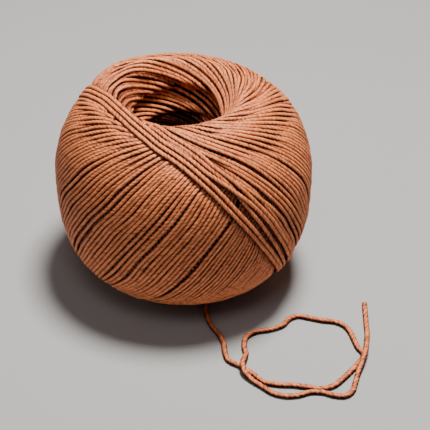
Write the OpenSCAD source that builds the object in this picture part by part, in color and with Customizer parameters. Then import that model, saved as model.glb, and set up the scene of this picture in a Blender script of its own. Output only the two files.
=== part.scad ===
// Ball of waxed twisted thread, wound on a bare mandrel that was drawn out.
// One thread, modelled as the courses it was wound in: a core course round
// the hollow, nine courses round that, the last strands and the loose end.
// Millimetres, +Z up. The origin is the centre of the ball's lower rim, on
// the surface that the ball stands on.

/* [Ball] */
// Diameter of the ball at its equator
ball_d = 75; // [70:1:80]
// Height of the ball from its lower rim to its upper rim
ball_h = 62; // [58:1:66]
// Squareness of the ball's outline, where 2 is an ellipse
crown = 2.7; // [2.4:0.1:3]

/* [Hollow] */
// Diameter of the hole that the winding mandrel left through the core
bore_d = 14; // [12:0.5:14]
// Diameter of the funnel's mouth at each rim
mouth_d = 35; // [32:1:37]

/* [Thread] */
// Diameter of the loose thread
thread_d = 1.5; // [1.2:0.1:1.6]
// Thickness of a strand where it is drawn tight on the ball
strand_d = 1.4; // [1.2:0.1:1.5]
// Number of the last strands that lie side by side on top of the ball
last_count = 4; // [2:1:6]
// Tilt of the last strands' plane from level
last_tilt = 57; // [52:1:62]
// Bearing of the last strands' low side
last_bearing = 40; // [0:5:355]

/* [Colours] */
// Colour of the outer thread
outer_colour = "#b9694b"; // ["#b9694b":terracotta, "#8a4a34":chestnut, "#c9a27a":natural]
// Colour of the thread inside the hollow
inner_colour = "#9c5238"; // ["#9c5238":dark terracotta, "#6f3a28":dark chestnut, "#a88662":dark natural]

/* [Hidden] */
courses = 9;
hc = ball_h / 2;                     // height of the ball's centre
a = ball_d / 2;                      // radius at the equator
b = hc * 33 / 31;                    // the outline's own half height, above the flat rim
core_s = 0.336;                      // size of the core course as a share of the ball
sides = 8;                           // sides of the loose end's tube

// Share of the ball's size that a course reaches
function share(k) = core_s + (1 - core_s) * k / courses;

// Radius of a course's opening. The openings widen outwards as a stepped funnel.
function mouth(k) = max(bore_d / 2, mouth_d / 2 * share(k));

// One point of the ball's outline, for a parameter from -90 at the foot to 90 at the top
function outline(s, t) = [
    s * a * pow(abs(cos(t)), 2 / crown),
    (t < 0 ? -1 : 1) * s * b * pow(abs(sin(t)), 2 / crown)
];

// A closed body with the ball's outline, centred on the ball's centre
module rounded(s) {
    rotate_extrude($fn = 96)
        polygon([for (t = [-90 : 5 : 90]) let (p = outline(s, t)) abs(t) == 90 ? [0, p[1]] : p]);
}

// The space between the two planes that the ball's rims lie in
module between_rims(extra = 0) {
    translate([-2 * a, -2 * a, -hc]) cube([4 * a, 4 * a, 2 * hc + extra]);
}

// The passage under the lower rim where the loose end comes out
module passage() {
    translate([0, 0, -1]) linear_extrude(2.75) polygon([
        [11.5, -12], [10, -17], [9.25, -21], [9.5, -28],
        [7, -28], [6.5, -21], [7.25, -17], [8.5, -12]
    ]);
}

// One winding course: the layer between two outlines, open at both ends
module course(k) {
    difference() {
        translate([0, 0, hc]) intersection() {
            difference() {
                rounded(share(k));
                rounded(share(k - 1));
                cylinder(r = mouth(k), h = 4 * a, center = true, $fn = 96);
            }
            between_rims();
        }
        if (k >= courses - 1) passage();
    }
}

module winding_core() {
    color(inner_colour) translate([0, 0, hc]) difference() {
        rounded(core_s);
        cylinder(r = bore_d / 2, h = 4 * a, center = true, $fn = 96);
    }
}

module winding_1() { color(inner_colour) course(1); }
module winding_2() { color(inner_colour) course(2); }
module winding_3() { color(inner_colour) course(3); }
module winding_4() { color(inner_colour) course(4); }
module winding_5() { color(inner_colour) course(5); }
module winding_6() { color(inner_colour) course(6); }
module winding_7() { color(inner_colour) course(7); }
module winding_8() { color(inner_colour) course(8); }
module winding_9() { color(outer_colour) course(9); }

// The last strands: bands one strand wide that lie side by side on the ball
// in a tilted plane, from under its front, over the rim and down its back
module last_strands() {
    color(outer_colour) translate([0, 0, hc]) intersection() {
        difference() {
            intersection() {
                rounded(1 + strand_d / a);
                between_rims(strand_d);
            }
            intersection() {
                rounded(1);
                between_rims();
            }
        }
        translate([0, 0, -hc + 1.2]) translate([-2 * a, -2 * a, 0]) cube([4 * a, 4 * a, 4 * a]);
        rotate([0, last_tilt, last_bearing])
            for (i = [0 : last_count - 1])
                translate([0, 0, -1.9 + (i - (last_count - 1) / 2) * (strand_d + 0.1)])
                    cube([4 * a, 4 * a, strand_d], center = true);
    }
}

// The loose end's route, from the lower rim out under the ball's front, once
// round in a loop on the surface, over itself, and to its cut end
route = [
    [12.5, 10.5, 0.75], [14.5, 6.5, 0.75], [15, 2, 0.75], [14, -3, 0.75],
    [12, -8, 0.75], [10, -12.5, 0.75], [8.5, -17, 0.75], [8, -21, 0.75],
    [8.5, -25.5, 0.75], [10, -30, 0.75], [12, -33.5, 0.75], [13.5, -37, 0.75],
    [14, -41, 0.75], [15, -44.5, 0.75], [18.5, -47, 0.75], [22, -50, 0.75],
    [25, -53, 0.75], [29, -54, 0.75], [33, -54, 0.75], [37, -54.5, 0.75],
    [41, -55, 0.75], [44.5, -53.5, 0.75], [47.5, -50, 0.75], [50, -46.5, 0.75],
    [52.5, -42.5, 0.75], [53.5, -40, 0.75], [52, -37, 0.75], [51, -33.5, 0.75],
    [50, -30, 0.75], [48.5, -27.5, 0.75], [46, -26, 0.75], [42, -25.5, 0.75],
    [38, -24.5, 0.75], [35, -24, 0.75], [32.5, -25.5, 0.75], [30.5, -28.5, 0.75],
    [27, -30.5, 0.75], [22.5, -32, 0.75], [20, -34.5, 0.75], [19.5, -38.5, 0.75],
    [20, -42, 1], [19.5, -45, 2.2], [19, -47.5, 2.4], [19.5, -50, 1.8],
    [21.5, -52.5, 1], [24.5, -55, 0.75], [27.5, -57.5, 0.75], [31, -58.5, 0.75],
    [34.5, -58, 0.75], [38, -56.5, 0.75], [41.5, -56.5, 0.75], [44.5, -57.5, 0.75],
    [47.5, -57.5, 0.75], [49.5, -55.5, 0.75], [50.5, -52, 0.75], [51.5, -48, 1.2],
    [53, -43.5, 2.2], [54, -39.5, 2.35], [54.5, -35.5, 1.5], [55, -31, 0.8],
    [55, -26.5, 0.75], [55, -21.5, 0.75], [55, -17, 0.75]
];

function unit(v) = v / norm(v);
function heading(i) = unit(route[min(i + 1, len(route) - 1)] - route[max(i - 1, 0)]);

// A ring of the tube round one point of the route
function ring(i) = let (
        t = heading(i),
        u = unit(cross([0, 0, 1], t)),
        w = cross(t, u)
    ) [for (j = [0 : sides - 1]) let (g = (j + 0.5) * 360 / sides)
        route[i] + thread_d / 2 * (cos(g) * u + sin(g) * w)];

module loose_end() {
    n = len(route);
    points = [for (i = [0 : n - 1]) each ring(i)];
    skin = [for (i = [0 : n - 2], j = [0 : sides - 1]) let (
            p = i * sides + j,
            q = i * sides + (j + 1) % sides
        ) each [[p, q + sides, q], [p, p + sides, q + sides]]];
    first = [for (j = [0 : sides - 1]) j];
    last = [for (j = [sides - 1 : -1 : 0]) (n - 1) * sides + j];
    color(outer_colour) polyhedron(points, concat(skin, [first], [last]), convexity = 10);
}

winding_core();
winding_1();
winding_2();
winding_3();
winding_4();
winding_5();
winding_6();
winding_7();
winding_8();
winding_9();
last_strands();
loose_end();
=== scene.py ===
# Ball of waxed twisted thread: the visual model. Every strand that can be seen is its own plied tube,
# laid turn by turn on the turns below it, in the order in which the ball was wound.
import math
import bpy
import numpy as np
from mathutils import Matrix
from mathutils.kdtree import KDTree


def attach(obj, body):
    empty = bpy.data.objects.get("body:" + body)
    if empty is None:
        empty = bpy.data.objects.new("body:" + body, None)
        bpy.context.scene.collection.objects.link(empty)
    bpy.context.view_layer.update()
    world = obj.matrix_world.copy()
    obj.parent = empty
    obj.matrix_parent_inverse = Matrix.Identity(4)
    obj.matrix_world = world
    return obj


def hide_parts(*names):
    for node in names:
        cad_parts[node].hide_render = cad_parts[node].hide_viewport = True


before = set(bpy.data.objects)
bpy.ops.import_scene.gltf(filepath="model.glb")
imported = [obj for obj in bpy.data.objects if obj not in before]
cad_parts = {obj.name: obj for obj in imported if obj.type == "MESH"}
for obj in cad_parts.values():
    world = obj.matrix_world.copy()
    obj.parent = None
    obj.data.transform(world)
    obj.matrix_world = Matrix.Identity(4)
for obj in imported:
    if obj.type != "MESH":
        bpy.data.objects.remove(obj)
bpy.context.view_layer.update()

MM = 0.001
rng = np.random.default_rng(20240611)

# ---------------------------------------------------------------- camera
cam_data = bpy.data.cameras.new("camera")
cam_data.sensor_width = 36.0
cam_data.sensor_fit = "AUTO"
cam_data.lens = 128.148
cam_data.clip_start = 0.01
cam_data.clip_end = 20.0
cam = bpy.data.objects.new("camera", cam_data)
bpy.context.scene.collection.objects.link(cam)
cam.matrix_world = Matrix((
    (0.99926292, -0.03838781, 0.0, 0.0097053),
    (0.02256379, 0.58735201, -0.80901699, -0.3697486),
    (0.03105639, 0.80842068, 0.58778525, 0.2873041),
    (0.0, 0.0, 0.0, 1.0),
))
bpy.context.scene.camera = cam

# ---------------------------------------------------------------- plied thread
STRAND_R = 0.69                 # radius over the plies of a strand, mm
LAY = 4.0                       # length of one full twist, mm
PLIES = 3
PER_PLY = 4
RING = PLIES * PER_PLY
_in = np.radians([-60.0, -30.0, 0.0, 30.0])
_d, _p = 0.18, 0.57
_lobe = (_d * np.cos(_in) + np.sqrt(_p ** 2 - (_d * np.sin(_in)) ** 2)) / (_d + _p)
RING_A = (np.arange(PLIES)[:, None] * 2 * np.pi / PLIES + _in[None, :]).ravel()
RING_R = np.tile(_lobe, PLIES)
# weight of each ring vertex for the painted shade in the grooves between the plies
GROOVE = np.tile([1.0, 0.15, 0.0, 0.15], PLIES)


def tone_with_painted_shade(rise, base, depth=0.55):
    """Tone of each vertex: the strand's own on its crest, with painted shade that makes it darker between the plies
    and down its sides.
    """
    side = np.clip((rise - 0.05) / 0.72, 0, 1)
    side = side * side * (3 - 2 * side)
    base = np.asarray(base, float).reshape(-1, 1)
    return base + 0.17 - (depth + 0.45) * (1 - side) - 0.07 * GROOVE[None, :]


def plied(points, up, radius=STRAND_R, lay=LAY, phase=0.0, wide=1.0, high=1.0, taper=None):
    """Rings of one plied tube: its vertices (n, RING, 3), its arc length (n) and the fibre coordinates."""
    t = np.gradient(points, axis=0)
    t /= np.linalg.norm(t, axis=1, keepdims=True)
    e = up - (up * t).sum(1, keepdims=True) * t
    e /= np.linalg.norm(e, axis=1, keepdims=True)
    b = np.cross(t, e)
    s = np.concatenate([[0.0], np.cumsum(np.linalg.norm(np.diff(points, axis=0), axis=1))])
    a = RING_A[None, :] + (2 * np.pi * s / lay + phase)[:, None]
    r = np.broadcast_to(RING_R[None, :] * radius, a.shape)
    if taper is not None:
        r = r * taper[:, None]
    v = points[:, None, :] + (r * np.cos(a) * high)[:, :, None] * e[:, None, :] + (r * np.sin(a) * wide)[:, :, None] * b[:, None, :]
    fibre = np.stack([
        np.broadcast_to(np.cos(RING_A)[None, :], a.shape),
        np.broadcast_to(np.sin(RING_A)[None, :], a.shape),
        np.broadcast_to(s[:, None], a.shape),
    ], 2)
    return v, s, fibre, np.cos(a)


class Skein:
    """Collects plied tubes and writes them as one mesh with an attribute for the fibres and a strip-packed UV map."""

    def __init__(self, name):
        self.name = name
        self.v, self.f, self.fib, self.tone, self.uv = [], [], [], [], []
        self.n = 0
        self.length = 0.0

    def add(self, v, s, fibre, tone, caps=True, seed=0.0):
        n = v.shape[0]
        base = self.n
        idx = base + np.arange(n * RING).reshape(n, RING)
        nx = np.roll(idx, -1, 1)
        quads = np.stack([idx[:-1], nx[:-1], nx[1:], idx[1:]], 2).reshape(-1, 4)
        self.v.append(v.reshape(-1, 3))
        self.f.append(quads)
        fib = fibre.copy()
        fib[..., 2] += seed
        self.fib.append(fib.reshape(-1, 3))
        self.tone.append(np.asarray(tone, float).ravel())
        k = np.arange(RING)
        s0 = self.length + s[:-1]
        s1 = self.length + s[1:]
        u = np.stack([
            np.broadcast_to(s0[:, None], (n - 1, RING)), np.broadcast_to(s0[:, None], (n - 1, RING)),
            np.broadcast_to(s1[:, None], (n - 1, RING)), np.broadcast_to(s1[:, None], (n - 1, RING)),
        ], 2)
        w = np.broadcast_to(np.stack([k, k + 1, k + 1, k], 1)[None, :, :] / RING, (n - 1, RING, 4))
        first = np.broadcast_to(s0[:, None, None], (n - 1, RING, 4))
        self.uv.append(np.stack([u, w, first], 3).reshape(-1, 3))
        self.length += s[-1] + 0.5
        self.n += n * RING
        if caps:
            self.caps = getattr(self, "caps", [])
            self.caps.append((idx[0][::-1], idx[-1]))

    def build(self, material):
        v = np.concatenate(self.v) * MM
        quads = np.concatenate(self.f)
        caps = [c for pair in getattr(self, "caps", []) for c in pair]
        me = bpy.data.meshes.new(self.name)
        nq = len(quads)
        me.vertices.add(len(v))
        me.vertices.foreach_set("co", v.astype(np.float32).ravel())
        loops = np.concatenate([quads.ravel()] + [np.asarray(c) for c in caps]).astype(np.int32)
        starts = np.concatenate([np.arange(nq) * 4, nq * 4 + np.arange(len(caps)) * RING]).astype(np.int32)
        me.loops.add(len(loops))
        me.loops.foreach_set("vertex_index", loops)
        me.polygons.add(len(starts))
        me.polygons.foreach_set("loop_start", starts)
        me.update(calc_edges=True)
        me.polygons.foreach_set("use_smooth", np.ones(len(starts), bool))
        at = me.attributes.new("fibre", "FLOAT_VECTOR", "POINT")
        at.data.foreach_set("vector", np.concatenate(self.fib).astype(np.float32).ravel())
        at = me.attributes.new("tone", "FLOAT", "POINT")
        at.data.foreach_set("value", np.concatenate(self.tone).astype(np.float32))
        uvs = np.concatenate(self.uv)
        rows = max(1, int(math.ceil(math.sqrt(self.length / 5.6))))
        row_len = self.length / rows * 1.001
        row = np.floor(uvs[:, 2] / row_len)
        uu = (uvs[:, 0] - row * row_len) / row_len * 0.985
        vv = (row + 0.04 + 0.92 * uvs[:, 1]) / rows
        cap_uv = np.tile(np.array([[0.995, 0.5]]), (len(caps) * RING, 1))
        data = np.concatenate([np.stack([uu, vv], 1), cap_uv]).astype(np.float32)
        layer = me.uv_layers.new(name="OFBake")
        layer.data.foreach_set("uv", data.ravel())
        me.validate()
        ob = bpy.data.objects.new(self.name, me)
        bpy.context.scene.collection.objects.link(ob)
        me.materials.append(material)
        return ob


# ---------------------------------------------------------------- materials
def srgb(r, g, b):
    def lin(c):
        c /= 255.0
        return c / 12.92 if c <= 0.04045 else ((c + 0.055) / 1.055) ** 2.4
    return (lin(r), lin(g), lin(b), 1.0)


def thread_material(name, dark=1.0):
    m = bpy.data.materials.new(name)
    m.use_nodes = True
    nt = m.node_tree
    nt.nodes.clear()
    N = nt.nodes.new
    L = nt.links.new
    out = N("ShaderNodeOutputMaterial")
    b = N("ShaderNodeBsdfPrincipled")
    L(b.outputs[0], out.inputs[0])
    fib = N("ShaderNodeAttribute")
    fib.attribute_name = "fibre"
    tone = N("ShaderNodeAttribute")
    tone.attribute_name = "tone"
    # fine fibres that run along the plies
    m1 = N("ShaderNodeMapping")
    m1.inputs["Scale"].default_value = (7.0, 7.0, 1.1)
    L(fib.outputs["Vector"], m1.inputs["Vector"])
    n1 = N("ShaderNodeTexNoise")
    n1.inputs["Scale"].default_value = 1.0
    n1.inputs["Detail"].default_value = 3.0
    n1.inputs["Roughness"].default_value = 0.6
    L(m1.outputs[0], n1.inputs["Vector"])
    # uneven wax and dye, a few millimetres long
    m2 = N("ShaderNodeMapping")
    m2.inputs["Scale"].default_value = (0.9, 0.9, 0.5)
    L(fib.outputs["Vector"], m2.inputs["Vector"])
    n2 = N("ShaderNodeTexNoise")
    n2.inputs["Scale"].default_value = 1.0
    n2.inputs["Detail"].default_value = 2.0
    L(m2.outputs[0], n2.inputs["Vector"])
    # colour: partly the fibres' own mottle, partly painted shade in the grooves between fibres and painted highlights
    # on their crests, as the same noise is the bump's height
    grain_shade_and_glint = N("ShaderNodeMath")
    grain_shade_and_glint.operation = "MULTIPLY_ADD"
    L(n1.outputs["Fac"], grain_shade_and_glint.inputs[0])
    grain_shade_and_glint.inputs[1].default_value = 2.6
    grain_shade_and_glint.inputs[2].default_value = -0.88
    add = N("ShaderNodeMath")
    add.operation = "MULTIPLY_ADD"
    L(n2.outputs["Fac"], add.inputs[0])
    add.inputs[1].default_value = 0.7
    L(grain_shade_and_glint.outputs[0], add.inputs[2])
    add2 = N("ShaderNodeMath")
    add2.operation = "ADD"
    L(add.outputs[0], add2.inputs[0])
    L(tone.outputs["Fac"], add2.inputs[1])
    ramp = N("ShaderNodeValToRGB")
    ramp.color_ramp.elements[0].position = 0.0
    ramp.color_ramp.elements[0].color = srgb(18, 5, 2)
    ramp.color_ramp.elements[1].position = 1.0
    ramp.color_ramp.elements[1].color = srgb(255, 156, 94)
    for at, colour in ((0.3, srgb(42, 13, 6)), (0.55, srgb(114, 48, 28)), (0.8, srgb(202, 102, 63))):
        e = ramp.color_ramp.elements.new(at)
        e.color = colour
    L(add2.outputs[0], ramp.inputs["Fac"])
    L(ramp.outputs["Color"], b.inputs["Base Color"])
    # the shine follows the colour's value: strong on the crests, turned down where the painted shade lies
    shine = N("ShaderNodeMapRange")
    shine.inputs["From Min"].default_value = 0.25
    shine.inputs["From Max"].default_value = 0.9
    shine.inputs["To Min"].default_value = 0.0
    shine.inputs["To Max"].default_value = 0.4
    L(add2.outputs[0], shine.inputs["Value"])
    L(shine.outputs[0], b.inputs["Specular IOR Level"])
    rr = N("ShaderNodeMapRange")
    rr.inputs["To Min"].default_value = 0.36
    rr.inputs["To Max"].default_value = 0.6
    L(n2.outputs["Fac"], rr.inputs["Value"])
    L(rr.outputs[0], b.inputs["Roughness"])
    bump = N("ShaderNodeBump")
    bump.inputs["Strength"].default_value = 0.6
    bump.inputs["Distance"].default_value = 0.0001
    L(n1.outputs["Fac"], bump.inputs["Height"])
    L(bump.outputs[0], b.inputs["Normal"])
    b.inputs["Sheen Weight"].default_value = 0.03
    b.inputs["Sheen Roughness"].default_value = 0.4
    b.inputs["Sheen Tint"].default_value = (1.0, 0.8, 0.65, 1.0)
    return m


thread = thread_material("waxed_thread")

# ---------------------------------------------------------------- loose end
ROUTE = [
    [12.5, 10.5, 0.75], [14.5, 6.5, 0.75], [15, 2, 0.75], [14, -3, 0.75],
    [12, -8, 0.75], [10, -12.5, 0.75], [8.5, -17, 0.75], [8, -21, 0.75],
    [8.5, -25.5, 0.75], [10, -30, 0.75], [12, -33.5, 0.75], [13.5, -37, 0.75],
    [14, -41, 0.75], [15, -44.5, 0.75], [18.5, -47, 0.75], [22, -50, 0.75],
    [25, -53, 0.75], [29, -54, 0.75], [33, -54, 0.75], [37, -54.5, 0.75],
    [41, -55, 0.75], [44.5, -53.5, 0.75], [47.5, -50, 0.75], [50, -46.5, 0.75],
    [52.5, -42.5, 0.75], [53.5, -40, 0.75], [52, -37, 0.75], [51, -33.5, 0.75],
    [50, -30, 0.75], [48.5, -27.5, 0.75], [46, -26, 0.75], [42, -25.5, 0.75],
    [38, -24.5, 0.75], [35, -24, 0.75], [32.5, -25.5, 0.75], [30.5, -28.5, 0.75],
    [27, -30.5, 0.75], [22.5, -32, 0.75], [20, -34.5, 0.75], [19.5, -38.5, 0.75],
    [20, -42, 1], [19.5, -45, 2.2], [19, -47.5, 2.4], [19.5, -50, 1.8],
    [21.5, -52.5, 1], [24.5, -55, 0.75], [27.5, -57.5, 0.75], [31, -58.5, 0.75],
    [34.5, -58, 0.75], [38, -56.5, 0.75], [41.5, -56.5, 0.75], [44.5, -57.5, 0.75],
    [47.5, -57.5, 0.75], [49.5, -55.5, 0.75], [50.5, -52, 0.75], [51.5, -48, 1.2],
    [53, -43.5, 2.2], [54, -39.5, 2.35], [54.5, -35.5, 1.5], [55, -31, 0.8],
    [55, -26.5, 0.75], [55, -21.5, 0.75], [55, -17, 0.75],
]


def smooth_route(points, step):
    """A centripetal curve through the points, sampled at equal steps."""
    p = np.asarray(points, float)
    p = np.concatenate([[2 * p[0] - p[1]], p, [2 * p[-1] - p[-2]]])
    out = []
    for i in range(1, len(p) - 2):
        p0, p1, p2, p3 = p[i - 1], p[i], p[i + 1], p[i + 2]
        t0 = 0.0
        t1 = t0 + np.linalg.norm(p1 - p0) ** 0.5
        t2 = t1 + np.linalg.norm(p2 - p1) ** 0.5
        t3 = t2 + np.linalg.norm(p3 - p2) ** 0.5
        t = np.linspace(t1, t2, 24, endpoint=False)[:, None]
        a1 = (t1 - t) / (t1 - t0) * p0 + (t - t0) / (t1 - t0) * p1
        a2 = (t2 - t) / (t2 - t1) * p1 + (t - t1) / (t2 - t1) * p2
        a3 = (t3 - t) / (t3 - t2) * p2 + (t - t2) / (t3 - t2) * p3
        b1 = (t2 - t) / (t2 - t0) * a1 + (t - t0) / (t2 - t0) * a2
        b2 = (t3 - t) / (t3 - t1) * a2 + (t - t1) / (t3 - t1) * a3
        out.append((t2 - t) / (t2 - t1) * b1 + (t - t1) / (t2 - t1) * b2)
    out.append(p[-2][None, :])
    q = np.concatenate(out)
    s = np.concatenate([[0.0], np.cumsum(np.linalg.norm(np.diff(q, axis=0), axis=1))])
    n = int(round(s[-1] / step))
    ss = np.linspace(0, s[-1], n + 1)
    return np.stack([np.interp(ss, s, q[:, k]) for k in range(3)], 1)


tail_line = smooth_route(ROUTE, 0.3)
tail_up = np.tile(np.array([[0.0, 0.0, 1.0]]), (len(tail_line), 1))
tv, ts, tf, rise = plied(tail_line, tail_up, radius=0.74, lay=4.4, wide=1.14)
tail_skein = Skein("loose_end_strand")
# the loose end gets a weaker painted shade down its sides
tail_skein.add(tv, ts, tf, tone_with_painted_shade(rise, -0.10, 0.3))
tail = tail_skein.build(thread)
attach(tail, "root")
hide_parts("loose_end")

# ---------------------------------------------------------------- winding
# Each turn is a leg that rises (A) and a leg that falls (B) between the ball's two rims. Lengths are in mm and
# angles in degrees; the ball's centre is the origin until a strand becomes a mesh.
R0, HC = 37.5, 31.0
BETA = 56.7                     # tilt of a turn's plane
STEP = 2.6                      # how far the plane goes round in one turn
OLDEST, NEWEST = 356.5, -3.5
PROFILE_A = [0, 20, 28, 30, 33, 36, 38.6, 45.5, 55, 66, 78, 90]
PROFILE_R = [30, 31, 33.5, 35, 36.2, 37.1, 37.6, 38.6, 39.0, 38.7, 38.2, 37.5]
PROFILE_LOW = [30, 31, 34.7, 35.6, 36.35, 36.3, 36.4, 36.9, 38.1, 38.6, 38.2, 37.5]
LAYER = 1.15                    # radial distance between crossing strands

# angle of each turn round the axis, counted back from the last turn
AGES = [
    -3.5, -0.7, 3.7, 7.2, 9.4, 12.3, 14.2, 18.2, 20.6, 23.1, 26.1, 28.7, 30.8, 33.2, 35.5, 37.6, 41.2, 43.6, 46, 48.4,
    50.8, 53.2, 55.6, 58, 60.4, 62.8, 65.2, 67.6, 71, 74.3, 76.3, 79, 81.8, 84, 86.5, 89, 91.3, 94.9, 98.3, 101, 103,
    105.4, 108, 110.3, 112.4, 115, 117.5, 120.5, 123.3, 125.5, 129, 131.1, 133.3, 135.8, 138, 140.3, 142.8, 145,
    147.3, 149.5,
]
a = 153.3
while a < 190:
    AGES.append(a)
    a += 2.15
while a < OLDEST - 1.5:
    AGES.append(a + float(rng.normal() * 0.25))
    a += 2.55
AGES = np.array(AGES)
# the last turns lie over one another in places: angle along the turn, then the place of each
KNOTS_U = [22, 35, 47, 59, 71, 83, 96, 108]
KNOTS = {
    0: [-4.2, -3.6, -3.9, -4.1, -3.6, -3.2, -3.1, -2.9],
    1: [-0.5, 0.1, -0.1, -0.9, -0.9, -0.7, -0.7, -0.7],
    2: [5.5, 6.7, 6.8, 6.2, 4.1, 3.7, 3.1, 2.3],
    3: [3, 3.4, 3.5, 4.8, 7, 7.4, 7.1, 6.7],
    4: [8, 8.3, 9, 9.4, 9.3, 9.6, 9.5, 9.3],
    5: [13, 13.8, 13.8, 13.8, 12.6, 12.2, 11.7, 11.5],
    6: [10, 10.3, 11.2, 12.4, 14.3, 15, 14.1, 13.8],
    7: [16, 16.6, 17.1, 17.4, 18.2, 18.5, 17.6, 17.4],
    8: [18.2, 18.6, 19.2, 19.9, 20.5, 20.9, 20.8, 20.5],
    9: [21.5, 21.8, 22.3, 22.6, 23, 23.7, 24.2, 24],
    10: [26.5, 27.4, 26.9, 26.1, 26.1, 26.5, 26.8, 26.8],
}


def step01(x):
    x = np.clip(x, 0, 1)
    return x * x * (3 - 2 * x)


def fold(theta):
    return np.where(theta > 90, 180 - theta, theta)


def hump(az, middle, width):
    return np.exp(-(((az - middle + 180) % 360 - 180) / width) ** 2)


def profile(theta, az):
    """Distance of the ball's outside from its centre. The upper rim isn't quite even round the ball."""
    r = np.where(theta > 90, np.interp(fold(theta), PROFILE_A, PROFILE_LOW), np.interp(theta, PROFILE_A, PROFILE_R))
    uneven = 1.8 * hump(az, 150, 28.0) - 1.0 * hump(az, 35, 38.0) - 0.8 * hump(az, 268, 34.0)
    return r + uneven * np.exp(-((theta - 37) / 11.0) ** 2) - 0.9 * hump(az, 188, 34.0) * np.exp(-((theta - 107) / 18.0) ** 2)


# how far round a leg has gone from its turn's highest place, by polar angle: a great circle away from the rim,
# and a steady slope over the crest
SLOPE = 27.0
JOIN = 43.0
_th = np.arange(26.0, 90.01, 0.05)
_dl = np.degrees(np.arccos(np.clip(1 / math.tan(math.radians(BETA)) / np.tan(np.radians(_th)), -1, 1)))
_j = int(np.searchsorted(_th, JOIN))
_gc = np.degrees(np.arctan(np.gradient(_th, _dl + 1e-9 * np.arange(len(_dl))) / np.sin(np.radians(_th))))
_slope = np.where(_th >= JOIN, _gc, SLOPE + (_gc[_j] - SLOPE) * step01((_th - 35.0) / (JOIN - 35.0)))
_dd = 0.05 / np.sin(np.radians(_th)) / np.tan(np.radians(_slope))
_delta = _dl.copy()
_cum = np.cumsum(_dd[:_j][::-1])[::-1]
_delta[:_j] = _dl[_j] - _cum


def round_by(theta):
    """Angle round the axis from the turn's highest place to polar angle theta, on either half."""
    t = fold(theta)
    d = np.interp(t, _th, _delta)
    return np.where(theta > 90, 180 - d, d)


# edges of the courses in the upper funnel: distance from the centre by azimuth
D_EDGE = ([-150, -135, -44, 16, 39, 57, 70, 81, 93, 106, 117.5, 129, 141.5, 154, 166, 176, 186, 210],
          [27, 26, 23.2, 23.1, 23.9, 25.5, 27, 27.5, 27.8, 28, 29.4, 31, 32.8, 34.1, 34.8, 34.9, 34, 27])
B_EDGE = ([-150, -60, 0, 20, 40, 54, 63, 76, 96, 107, 119, 131, 144, 159, 182, 210],
          [26.5, 22.6, 22.4, 22.8, 23.6, 25.5, 26.4, 27, 27.1, 27.1, 27.5, 27.2, 27.1, 27.2, 27.8, 26.5])


def by_azimuth(table, az):
    return np.interp((az + 150) % 360 - 150, table[0], table[1])


def wobble(count):
    """How far each turn strays sideways along its way, alike in neighbouring turns; standard deviation 1."""
    k = 26
    g = rng.normal(size=(count + 80, k))
    w = np.exp(-0.5 * (np.arange(-16, 17) / 4.5) ** 2)
    g = np.apply_along_axis(lambda c: np.convolve(c, w / np.sqrt((w ** 2).sum()), "same"), 0, g)[40:40 + count]
    h = rng.normal(size=g.shape)
    return g, h


WOB_G, WOB_H = wobble(len(AGES) + 1)


def wob_at(i, u):
    """Sideways stray of turn i, in degrees of age, at angle u along the turn."""
    k = WOB_G.shape[1]
    x = (u + 180.0) / 360.0 * k
    j = np.floor(x).astype(int) % k
    f = step01(x - np.floor(x))
    g = WOB_G[i, j] * (1 - f) + WOB_G[i, (j + 1) % k] * f
    h = WOB_H[i, j] * (1 - f) + WOB_H[i, (j + 1) % k] * f
    return 0.55 * g + 0.16 * h


def level(i):
    """How long a turn stays on top as the turns crowd together towards a rim."""
    return 0 if i % 2 else (1 if i % 4 else (2 if i % 8 else 3))


def sunk(i, pitch):
    """How far turn i has gone under its neighbours where the turns lie pitch mm apart."""
    lv = level(i)
    v = 0.08 * math.sin(i * 12.9898)
    at = (0.98, 0.44, 0.0, 0.0)[lv] * (1 + v)
    return step01((at * 1.15 - pitch) / (at * 0.3 + 1e-6)) if lv < 2 else np.zeros_like(pitch)


def sphere_dir(theta, az):
    t, z = np.radians(theta), np.radians(az)
    return np.stack([np.sin(t) * np.cos(z), np.sin(t) * np.sin(z), np.cos(t)], -1)


# down the ball's back the newest turns lie at more even places than down its front
BACK_FROM = [-10, 7.2, 9.4, 12.3, 14.2, 18.2, 20.6, 23.1, 26.1, 28.7, 30.8, 400]
BACK_TO = [-10, 7.2, 9.8, 12.4, 15.0, 17.6, 20.2, 22.8, 25.5, 28.2, 30.8, 400]


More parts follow.
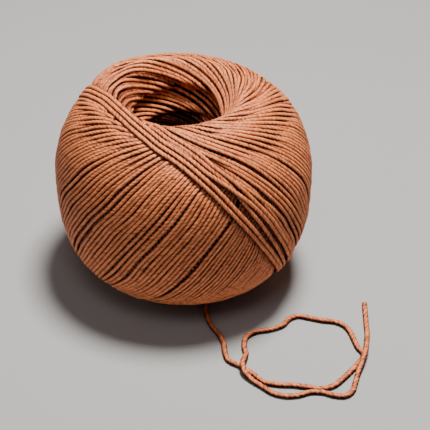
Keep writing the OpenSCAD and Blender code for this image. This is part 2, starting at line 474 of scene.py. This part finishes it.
def leg(i, age, side):
    """One leg of a turn over the outside of the ball, from below the lower rim to above the upper rim.
    side is +1 for the rising leg and -1 for the falling one. Gives points, outward directions, depth, how far it has
    sunk, polar angles and azimuths."""
    th = np.arange(152.0, 28.0, -0.25)
    if side < 0:
        age = float(np.interp(age, BACK_FROM, BACK_TO))
    dl = round_by(th)
    u = np.degrees(np.arccos(np.clip(np.cos(np.radians(th)) / math.sin(math.radians(BETA)), -1, 1)))
    ag = age + wob_at(i, side * u) * step01((u - 12) / 20) * step01((168 - u) / 20)
    if i in KNOTS and side > 0:
        ag = np.interp(u, [0] + KNOTS_U + [150], [age] + KNOTS[i] + [age]) + (ag - age) * 0.25
    if side > 0:
        # the turns next to the last strands lean against them as they near the rim
        ag = ag + np.interp(u, [25, 31, 35.5, 41, 48, 58], [-9, -7, -4.6, -2.2, -1.0, 0]) * np.exp(-((age + 3.5) / 30.0) ** 2) * (th < 90)
    az = ag + 220 + side * dl
    if side < 0:
        # the turns on the left run up against the last strands and bend to go along with them
        azm = az % 360
        e = th - np.interp(azm, BUNDLE_AZ, BUNDLE_TH)
        push = np.where(e < 0, 0.6 * (4 - e), 0.6 * np.clip(8 - e, 0, None) ** 2 / 16)
        th = th + np.clip(push, 0, 9) * step01((azm - 165) / 20) * (1 - step01((azm - 232) / 22))
    # age of the other family's strand here, and which of the two lies on top
    other = ag + side * (2 * dl)
    other = (other - NEWEST) % 360 + NEWEST
    diff = age - other
    diff = (diff + 180) % 360 - 180
    near = np.abs(age - other)
    depth = np.where(other < age, 1.0, 0.0)
    close = step01((diff + 5) / 10.0)
    depth = np.where(near < 20, close, depth)
    x = (other - OLDEST + 180) % 360 - 180          # the other leg's age wraps from the oldest to the newest
    depth = np.where((x > -4) & (x < 4), np.maximum(depth, step01((x + 4) / 4.0)), depth)
    r = profile(th, az)
    st = np.sin(np.radians(th))
    d = sphere_dir(th, az)
    # a leg dives where it passes under the last strands
    if side < 0 or age > 60:
        cross = np.ones(len(th), bool)
    else:
        cross = (az % 360) < 236
    under = np.zeros(len(th))
    for k in np.flatnonzero(cross):
        under[k] = 1 - step01((last_tree.find(d[k] * 37.5)[2] - 0.6) / 0.95)
    depth = np.maximum(depth, under)
    # the leg that goes on over its rim comes up there
    on = (th < 90) if side > 0 else (th > 90)
    depth = np.where(on & (under < 0.02), depth * step01((fold(th) - 33.0) / 7.0), depth)
    grad = np.gradient(th) / (np.gradient(dl) * st + 1e-9)
    pitch = r * st * np.radians(STEP) * np.sin(np.arctan(np.abs(grad)))
    sk = sunk(i, pitch)
    lift = 0.05 * np.sin(i * 5.1 + u * 0.05) + 0.03 * WOB_H[i, (np.arange(len(u)) // 24) % WOB_H.shape[1]]
    lift = np.convolve(np.concatenate([np.full(12, lift[0]), lift, np.full(12, lift[-1])]), np.ones(25) / 25, "valid")
    rc = r - 0.71 - LAYER * depth - 0.75 * sk + lift
    low = (HC - 0.715) / np.maximum(-d[:, 2], 0.3)
    rc = np.where(d[:, 2] < -0.3, np.minimum(rc, low - LAYER * depth * 0.5), rc)
    return d * rc[:, None], d, depth, sk, th, az


def down_wall(big_r, polar, az0, slope, edge, curl=True, sink=None, stop=None, turn=1.3):
    """A strand along a meridian line (distance from the centre, polar angle) that goes round as it goes down, cut
    at the course's lower edge and bent round under it. Gives points and the directions of the free side."""
    t = np.radians(polar)
    r, z = big_r * np.sin(t), big_r * np.cos(t)
    dm = np.hypot(np.diff(r), np.diff(z))
    go = np.concatenate([[0], np.cumsum(dm / (0.5 * (r[1:] + r[:-1]) * math.tan(math.radians(slope))))])
    az = az0 - np.degrees(go)
    way = np.concatenate([[0], np.cumsum(dm)])
    past = np.flatnonzero(big_r <= (by_azimuth(edge, az) if isinstance(edge, tuple) else edge) + (0.9 * turn if curl else 0.0))
    n = max(int(past[0]) if len(past) else len(r), 3)
    if stop is not None:
        n = min(n, max(3, int(np.searchsorted(way, stop))))
    mr, mz = np.gradient(r), np.gradient(z)
    ml = np.hypot(mr, mz)
    mr, mz = mr / ml, mz / ml
    nr, nz = mz, -mr
    if sink is not None:
        push = np.interp(way, sink[0], sink[1])
        r, z = r - push * nr, z - push * nz
    r, z, az, mr, mz, nr, nz = [a[:n] for a in (r, z, az, mr, mz, nr, nz)]
    if curl:
        f = np.linspace(0, 1, 11)[1:] * math.radians(145)
        rc = r[-1] + turn * np.sin(f) * mr[-1] - turn * (1 - np.cos(f)) * nr[-1]
        zc = z[-1] + turn * np.sin(f) * mz[-1] - turn * (1 - np.cos(f)) * nz[-1]
        azc = az[-1] - np.degrees(turn * f / (rc * math.tan(math.radians(slope))))
        nrc = nr[-1] * np.cos(f) + mr[-1] * np.sin(f)
        nzc = nz[-1] * np.cos(f) + mz[-1] * np.sin(f)
        r, z, az, nr, nz = [np.concatenate(ab) for ab in ((r, rc), (z, zc), (az, azc), (nr, nrc), (nz, nzc))]
    c, s = np.cos(np.radians(az)), np.sin(np.radians(az))
    return np.stack([r * c, r * s, z], 1), np.stack([nr * c, nr * s, nz], 1)


# the last strands stay outside the rim: place of the first one by azimuth, and how far the others lie beside it
LAST_AZ = [205, 218.1, 231, 244.6, 255.7, 264.3, 271.9, 278.6]
LAST_TH = [37.6, 37.2, 38.4, 40.9, 44.4, 47.2, 51.0, 55.8]
LAST_SIDE = {0: 0.0, 1: 1.5, 3: 2.95, 2: 4.4, 4: 5.8}
TUCKED = {0: 0.0, 1: 1.45, 3: 2.85, 2: 0.75, 4: 2.1}    # over the left shoulder two of them lie under the other three


def last_line(j):
    """One of the last strands, from the ball's back over its left shoulder and down its front. Points, directions."""
    nodes = []
    for delta in range(-160, -28, 8):
        c = math.cos(math.radians(delta)) * math.tan(math.radians(55.2))
        nodes.append((224.7 + delta, math.degrees(math.atan2(1.0, c))))
    nodes += list(zip(LAST_AZ, LAST_TH))
    for t in range(62, 150, 7):
        u = math.degrees(math.acos(max(-1.0, math.cos(math.radians(t)) / math.sin(math.radians(BETA)))))
        nodes.append((float(np.interp(u, KNOTS_U, KNOTS[0])) + 220.0 + float(round_by(np.array(float(t)))), float(t)))
    az = np.array([n[0] for n in nodes])
    th = np.array([n[1] for n in nodes])
    line = smooth_route(sphere_dir(th, az) * 37.5, 0.34)
    d = line / np.linalg.norm(line, axis=1, keepdims=True)
    tan = np.gradient(d, axis=0)
    tan /= np.linalg.norm(tan, axis=1, keepdims=True)
    beside = np.cross(d, tan)
    azs = np.degrees(np.arctan2(d[:, 1], d[:, 0])) % 360
    ths = np.degrees(np.arccos(d[:, 2]))
    u = np.degrees(np.arccos(np.clip(np.cos(np.radians(ths)) / math.sin(math.radians(BETA)), -1, 1)))
    front = np.arange(len(d)) > int(np.argmin(ths))

    def over(k):
        st = np.sin(np.radians(ths))
        scale = math.radians(1) * 38.4 * np.sqrt(np.maximum(st ** 2 - math.cos(math.radians(BETA)) ** 2, 0.05))
        low = (np.interp(u, KNOTS_U, KNOTS[k]) - np.interp(u, KNOTS_U, KNOTS[0])) * scale
        mix = np.where(front, step01((u - 40.0) / 18.0), 0.0)
        return (LAST_SIDE[k] * (1 - tuck) + TUCKED[k] * tuck) * (1 - mix) + low * mix

    tuck = step01((azs - 128.0) / 24.0) * (1 - step01((azs - 222.0) / 22.0))
    w = over(j)
    raised = 0.4 - 0.3 * step01((azs - 110.0) / 30.0) * (1 - step01((azs - 190.0) / 40.0))
    if j in (2, 4):
        raised -= 1.3 * step01((azs - 122.0) / 16.0) * (1 - step01((azs - 234.0) / 14.0))
    if j in (2, 3):
        gap = np.abs(over(2) - over(3))
        raised += (0.5 if j == 3 else -0.45) * np.exp(-(gap / 1.2) ** 2)
    q = d * 37.5 + beside * w[:, None]
    q /= np.linalg.norm(q, axis=1, keepdims=True)
    az2 = np.degrees(np.arctan2(q[:, 1], q[:, 0]))
    th2 = np.degrees(np.arccos(q[:, 2]))
    rad = profile(th2, az2) - 0.71 + raised
    low = (HC - 0.715) / np.maximum(-q[:, 2], 0.3)
    rad = np.where(q[:, 2] < -0.3, np.minimum(rad, low), rad)
    return q * rad[:, None], q


LAST = 5
last_strands = [last_line(j) for j in range(LAST)]
BUNDLE_AZ = np.degrees(np.arctan2(last_strands[0][1][:, 1], last_strands[0][1][:, 0])) % 360
BUNDLE_TH = np.degrees(np.arccos(last_strands[0][1][:, 2]))
_keep = (BUNDLE_AZ > 140) & (BUNDLE_AZ < 285)
BUNDLE_AZ, BUNDLE_TH = BUNDLE_AZ[_keep], BUNDLE_TH[_keep]
last_points = np.concatenate([q for _, q in last_strands]) * 37.5
last_tree = KDTree(len(last_points))
for k, q in enumerate(last_points):
    last_tree.insert(q, k)
last_tree.balance()

groups = {}
CENTRE = np.array([0, 0, HC])


def even(p, up, dark, step=0.34):
    s = np.concatenate([[0.0], np.cumsum(np.linalg.norm(np.diff(p, axis=0), axis=1))])
    n = max(4, int(round(s[-1] / step)))
    ss = np.linspace(0, s[-1], n)
    q = np.stack([np.interp(ss, s, p[:, k]) for k in range(3)], 1)
    w = np.stack([np.interp(ss, s, up[:, k]) for k in range(3)], 1)
    return q, w / np.linalg.norm(w, axis=1, keepdims=True), np.interp(ss, s, dark)


def soften(p, k=3, times=2):
    for _ in range(times):
        q = np.concatenate([np.repeat(p[:1], k, 0), p, np.repeat(p[-1:], k, 0)])
        c = np.cumsum(np.concatenate([np.zeros((1, p.shape[1])), q]), 0)
        p = (c[2 * k + 1:] - c[:-(2 * k + 1)]) / (2 * k + 1)
    return p


exit_line = tail_line[tail_line[:, 1] > -35.0]


def put(zone, i, p, up, dark=0.0, lift=True):
    """Adds one strand, its tone shifted along its way by dark: painted shade where it is negative, painted light where
    it is positive. Near the loose end's way under the rim a strand lies above it.
    """
    q, w, dark = even(p, up, np.broadcast_to(dark, (len(p),)))
    q = soften(q, 3, 2) + CENTRE
    if lift:
        low = np.flatnonzero(q[:, 2] < 2.6)
        if len(low):
            d2 = ((q[low, None, :2] - exit_line[None, ::2, :2]) ** 2).sum(2).min(1)
            need = 0.72 + 1.5 * step01((2.4 - np.sqrt(d2)) / 1.4)
            q[low, 2] = np.maximum(q[low, 2], need)
            q = soften(q, 2, 1)
    q[:, 2] = np.maximum(q[:, 2], 0.7)
    groups.setdefault(zone, []).append((i, q, w, dark))


LOW_EDGE = 26.5
CREST = np.linspace(0, 1, 15)
for j, (p, d) in enumerate(last_strands):
    put("last", j, p, d)
for i, age in enumerate(AGES):
    if i < 3:
        continue
    zone = "d" if age < 282 else "c"
    for side in ((1, -1) if i >= LAST else (-1,)):
        p, d, depth, sk, th, az = leg(i, age, side)
        tf = fold(th)
        on = (th < 90) if side > 0 else (th > 90)       # the half whose rim this leg goes over
        out = 3.2 * hump(az, 266, 40.0) * (side > 0)    # the upper rim turns in further out at the front
        show = np.where(on, tf > 33.4 + out, tf > 36.0 + 3.0 * (depth > 0.6))
        # painted shade on strands that lie under crossing strands or under the last strands, and on strands sunk
        # between their neighbours
        shade = -0.2 * depth - 0.3 * sk
        idx = np.flatnonzero(show)
        if len(idx) < 8:
            continue
        for run in np.split(idx, np.flatnonzero(np.diff(idx) > 1) + 1):
            if len(run) < 8:
                continue
            pts, ups, dark = p[run], d[run], shade[run]
            e = run[-1] if side > 0 else run[0]
            if on[e] and tf[e] < 34.0 + out[e]:
                r_e = float(np.linalg.norm(p[e]))
                t_e = float(tf[e])
                polar = 28.4 + 0.25 * math.sin(i * 4.7) + float(out[e])
                way_r = r_e - 2.7 * (1 - np.cos(CREST * math.pi / 2))
                way_t = t_e - (t_e - polar) * np.sin(CREST * math.pi / 2)
                wall_r = np.arange(way_r[-1], 13.0, -0.3)[1:]
                way_r = np.concatenate([way_r, wall_r])
                way_t = np.concatenate([way_t, np.full(len(wall_r), polar)])
                stays = level(i) > 1
                # on the left the older turns go on down the wall as the next course
                inner = side > 0 and zone == "c" and az[e] % 360 > 172
                if inner:
                    way_t = way_t + 2.0 * step01(np.arange(len(way_t)) / 14.0)
                add_p, add_n = down_wall(
                    way_r, way_t, float(az[e]), SLOPE + 1.5 * math.sin(i * 2.1),
                    (B_EDGE if inner else D_EDGE) if side > 0 else LOW_EDGE,
                    curl=stays, sink=None if stays else ([0.0, 5.0, 10.5], [0.0, 0.2, 1.4]), stop=None if stays else 10.5)
                # the painted shade fades to half down the wall, and strands that sink into the wall get more painted
                # shade as they go down
                add_d = shade[e] * np.linspace(1, 0.5, len(add_p)) - (0.0 if stays else 0.1) * np.linspace(0, 1, len(add_p))
                if side < 0:
                    flip = np.array([1.0, 1.0, -1.0])
                    add_p, add_n = add_p * flip, add_n * flip
                    pts = np.concatenate([add_p[:0:-1], pts])
                    ups = np.concatenate([add_n[:0:-1], ups])
                    dark = np.concatenate([add_d[:0:-1], dark])
                else:
                    pts = np.concatenate([pts, add_p[1:]])
                    ups = np.concatenate([ups, add_n[1:]])
                    dark = np.concatenate([dark, add_d[1:]])
            put(zone, i, pts, ups, dark)


def ring(zone, polar, top, edge, low_top, low_edge, count, first, slope, painted_wall_shade=0.0):
    """One course of strands on the walls of both funnels, from behind the course above it to its own lower edge. On
    the upper wall its strands get painted shade that grows down the wall, or painted light where the amount given is
    negative, with less of it round azimuth 48.
    """
    for k in range(count):
        az0 = k * 360.0 / count + 1.5 * math.sin(k * 7.7)
        t = polar + 0.3 * math.sin(k * 3.1)
        sl = (float(np.interp((az0 + 150) % 360 - 150, slope[0], slope[1])) if isinstance(slope, tuple) else slope) + 2.0 * math.sin(k * 1.3)
        start = float(by_azimuth(top, np.array(az0))) if isinstance(top, tuple) else top
        rr = np.arange(start, 12.0, -0.3)
        p, n = down_wall(rr, np.full(len(rr), t), az0, sl, edge, turn=1.2)
        # how much of the painted shade or light each point gets, less round azimuth 48
        painted_shade_weight = 1 - 0.75 * hump(np.degrees(np.arctan2(p[:, 1], p[:, 0])), 48, 24.0)
        put(zone, first + k, p, n, -painted_wall_shade * np.linspace(0.3, 1, len(p)) * painted_shade_weight, lift=False)
        rr = np.arange(low_top, 12.0, -0.3)
        p, n = down_wall(rr, np.full(len(rr), t), az0, sl, low_edge, turn=1.2)
        flip = np.array([1.0, 1.0, -1.0])
        put(zone, first + 500 + k, p * flip, n * flip, lift=False)


C_TOP = (D_EDGE[0], [min(v + 2.5, 34.6) for v in D_EDGE[1]])
B_TOP = (B_EDGE[0], [v + 2.5 for v in B_EDGE[1]])
# painted light on the shaded walls of the two upper courses, painted shade on the deepest course towards the bore
ring("b", 32.4, C_TOP, B_EDGE, 29.5, 23.6, 37, 400, 29.0, painted_wall_shade=-0.12)
ring("a", 36.4, B_TOP, 20.6, 26.2, 19.2, 30, 450, 26.0, painted_wall_shade=-0.12)
ring("a", 41.0, 23.2, 14.8, 21.8, 14.8, 27, 500, 25.0, painted_wall_shade=1.3)

# the first layer, wound on the bare mandrel: tilted rings round the bore
for q in range(31):
    phi = math.radians(q * 360.0 / 31)
    bt = math.radians(BETA)
    tt = np.array([-math.cos(bt) * math.cos(phi), -math.cos(bt) * math.sin(phi), math.sin(bt)])
    mm = np.array([math.sin(phi), -math.cos(phi), 0.0])
    uu = np.linspace(-np.pi, np.pi, 160)
    d = np.cos(uu)[:, None] * tt + np.sin(uu)[:, None] * mm
    st = np.sqrt(d[:, 0] ** 2 + d[:, 1] ** 2)
    rad = (8.35 + 0.6 * np.sin(uu)) / st
    groups.setdefault("a", []).append((900 + q, d * rad[:, None] + CENTRE, -d, np.zeros(len(d))))

count = 0
for zone, items in groups.items():
    length = sum(float(np.linalg.norm(np.diff(s[1], axis=0), axis=1).sum()) for s in items)
    rings = sum(len(s[1]) for s in items)
    count += rings
    print("zone", zone, "runs", len(items), "metres", round(length / 1000, 2), "rings", rings)
print("rings", count, "triangles", count * RING * 2)

NODES_OF = {
    "last": ["last_strands"],
    "d": ["winding_9"],
    "c": ["winding_8", "winding_7"],
    "b": ["winding_6", "winding_5", "winding_4"],
    "a": ["winding_3", "winding_2", "winding_1", "winding_core"],
}
pieces = []
MAX_RINGS = 8000
for zone, items in groups.items():
    part = 0
    skein = None
    for i, pts, up, dark in items:
        if skein is None or skein.n / RING + len(pts) > MAX_RINGS:
            if skein is not None:
                pieces.append((skein.build(thread), zone))
            skein = Skein("strands_%s_%02d" % (zone, part))
            part += 1
        seed = float((i * 37.7) % 500)
        ph = (i * 2.4) % (2 * math.pi)
        rad = STRAND_R * (1 + 0.03 * math.sin(i * 1.7))
        if i < len(AGES) and 152 < AGES[i] < 191:
            rad *= 0.88
        if 400 <= i < 500:
            rad *= 0.88
        if zone == "last":
            rad = 0.76
        v, s, fib, rise = plied(pts, up, radius=rad, phase=ph, wide=1.0, high=1.0)
        # each strand's own tone differs a little at random; dark adds its painted shade or light; the innermost
        # courses get a little more painted shade and the rings round the bore much more
        tone = 0.04 * math.sin(i * 2.3) + dark
        if zone == "a":
            tone = tone - (0.4 if i >= 900 else 0.08)
        skein.add(v, s, fib, tone_with_painted_shade(rise, tone), seed=seed)
    pieces.append((skein.build(thread), zone))
for ob, zone in pieces:
    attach(ob, "root")
    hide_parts(*NODES_OF[zone])

# ---------------------------------------------------------------- the winding below the strands that show
def heart():
    """A closed skin a strand below the surface, with the funnels and the bore, so that no light passes between strands."""
    na = 180
    th = np.radians(np.concatenate([np.linspace(33, 60, 40), np.linspace(62, 118, 40), np.linspace(120, 147, 40)]))
    az = np.arange(na) * 2 * np.pi / na
    rows = []
    # outer surface, from the upper funnel's edge to the lower one's
    for t in th:
        d = np.stack([np.sin(t) * np.cos(az), np.sin(t) * np.sin(az), np.full(na, np.cos(t))], 1)
        td = math.degrees(t)
        tf = min(td, 180 - td)
        rad = profile(np.full(na, td), np.degrees(az)) - np.interp(tf, [33, 36, 40, 60], [2.5, 2.3, 2.4, 2.6])
        low = d[:, 2] < -0.3
        rad_v = np.where(low, np.minimum(rad, (HC - 2.6) / np.maximum(-d[:, 2], 0.3)), rad)
        rows.append(d * rad_v[:, None])
    # lower funnel, bore, upper funnel
    for t, rad in ((142.5, 29.5), (139, 25.0), (136, 20.0), (134, 16.0), (132, 14.0)):
        t = math.radians(t)
        rows.append(np.stack([np.sin(t) * np.cos(az), np.sin(t) * np.sin(az), np.full(na, np.cos(t))], 1) * rad)
    for z in np.linspace(-8.8, 8.8, 9):
        rows.append(np.stack([10.2 * np.cos(az), 10.2 * np.sin(az), np.full(na, z)], 1))
    for t, rad in ((48, 14.0), (46, 16.0), (44, 20.0), (41, 25.0), (37.5, 29.5)):
        t = math.radians(t)
        rows.append(np.stack([np.sin(t) * np.cos(az), np.sin(t) * np.sin(az), np.full(na, np.cos(t))], 1) * rad)
    v = np.concatenate(rows) + np.array([0, 0, HC])
    nr = len(rows)
    faces = []
    for i in range(nr):
        i2 = (i + 1) % nr
        for j in range(na):
            j2 = (j + 1) % na
            faces.append((i * na + j, i2 * na + j, i2 * na + j2, i * na + j2))
    me = bpy.data.meshes.new("winding_below")
    me.from_pydata((v * MM).tolist(), [], faces)
    me.polygons.foreach_set("use_smooth", np.ones(len(faces), bool))
    me.update()
    ob = bpy.data.objects.new("winding_below", me)
    bpy.context.scene.collection.objects.link(ob)
    return ob


def painted_shade_heart_material():
    m = bpy.data.materials.new("winding_below")
    m.use_nodes = True
    nt = m.node_tree
    b = nt.nodes["Principled BSDF"]
    co = nt.nodes.new("ShaderNodeTexCoord")
    w = nt.nodes.new("ShaderNodeTexWave")
    w.inputs["Scale"].default_value = 220.0
    w.inputs["Distortion"].default_value = 3.0
    nt.links.new(co.outputs["Object"], w.inputs["Vector"])
    # painted shade: the winding below coloured as thread lying dark in the strands' shade
    r = nt.nodes.new("ShaderNodeValToRGB")
    r.color_ramp.elements[0].color = srgb(30, 11, 5)
    r.color_ramp.elements[1].color = srgb(78, 34, 18)
    nt.links.new(w.outputs["Fac"], r.inputs["Fac"])
    nt.links.new(r.outputs["Color"], b.inputs["Base Color"])
    b.inputs["Roughness"].default_value = 0.8
    b.inputs["Specular IOR Level"].default_value = 0.02
    return m


below = heart()
below.data.materials.append(painted_shade_heart_material())
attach(below, "root")
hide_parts("winding_core", "winding_1", "winding_2", "winding_3", "winding_4", "winding_5", "winding_6")

# ---------------------------------------------------------------- floor and light
fme = bpy.data.meshes.new("floor")
fme.from_pydata([(-3, -3, 0), (3, -3, 0), (3, 3, 0), (-3, 3, 0)], [], [(0, 1, 2, 3)])
floor = bpy.data.objects.new("floor", fme)
bpy.context.scene.collection.objects.link(floor)
fm = bpy.data.materials.new("floor")
fm.use_nodes = True
fb = fm.node_tree.nodes["Principled BSDF"]
fb.inputs["Base Color"].default_value = (0.37, 0.366, 0.36, 1)
fb.inputs["Roughness"].default_value = 0.85
floor.data.materials.append(fm)


def area(name, loc, target, size, power, color=(1, 1, 1)):
    li = bpy.data.lights.new(name, "AREA")
    li.shape = "DISK"
    li.size = size
    li.energy = power
    li.color = color
    ob = bpy.data.objects.new(name, li)
    bpy.context.scene.collection.objects.link(ob)
    ob.location = loc
    from mathutils import Vector
    ob.rotation_euler = (Vector(target) - Vector(loc)).to_track_quat("-Z", "Y").to_euler()
    return ob


area("key", (0.06, 0.05, 0.58), (0, 0, 0.03), 0.16, 7.45, (1.0, 0.97, 0.93))
area("fill", (-0.65, -0.40, 0.55), (0, 0, 0.03), 0.5, 0.45, (1.0, 0.98, 0.96))
area("front", (-0.05, -0.42, 0.78), (0, 0, 0.05), 0.3, 0.9, (0.94, 0.97, 1.0))
world = bpy.data.worlds.new("studio")
bpy.context.scene.world = world
world.use_nodes = True
world.node_tree.nodes["Background"].inputs["Color"].default_value = (0.9, 0.93, 1.0, 1)
world.node_tree.nodes["Background"].inputs["Strength"].default_value = 0.07
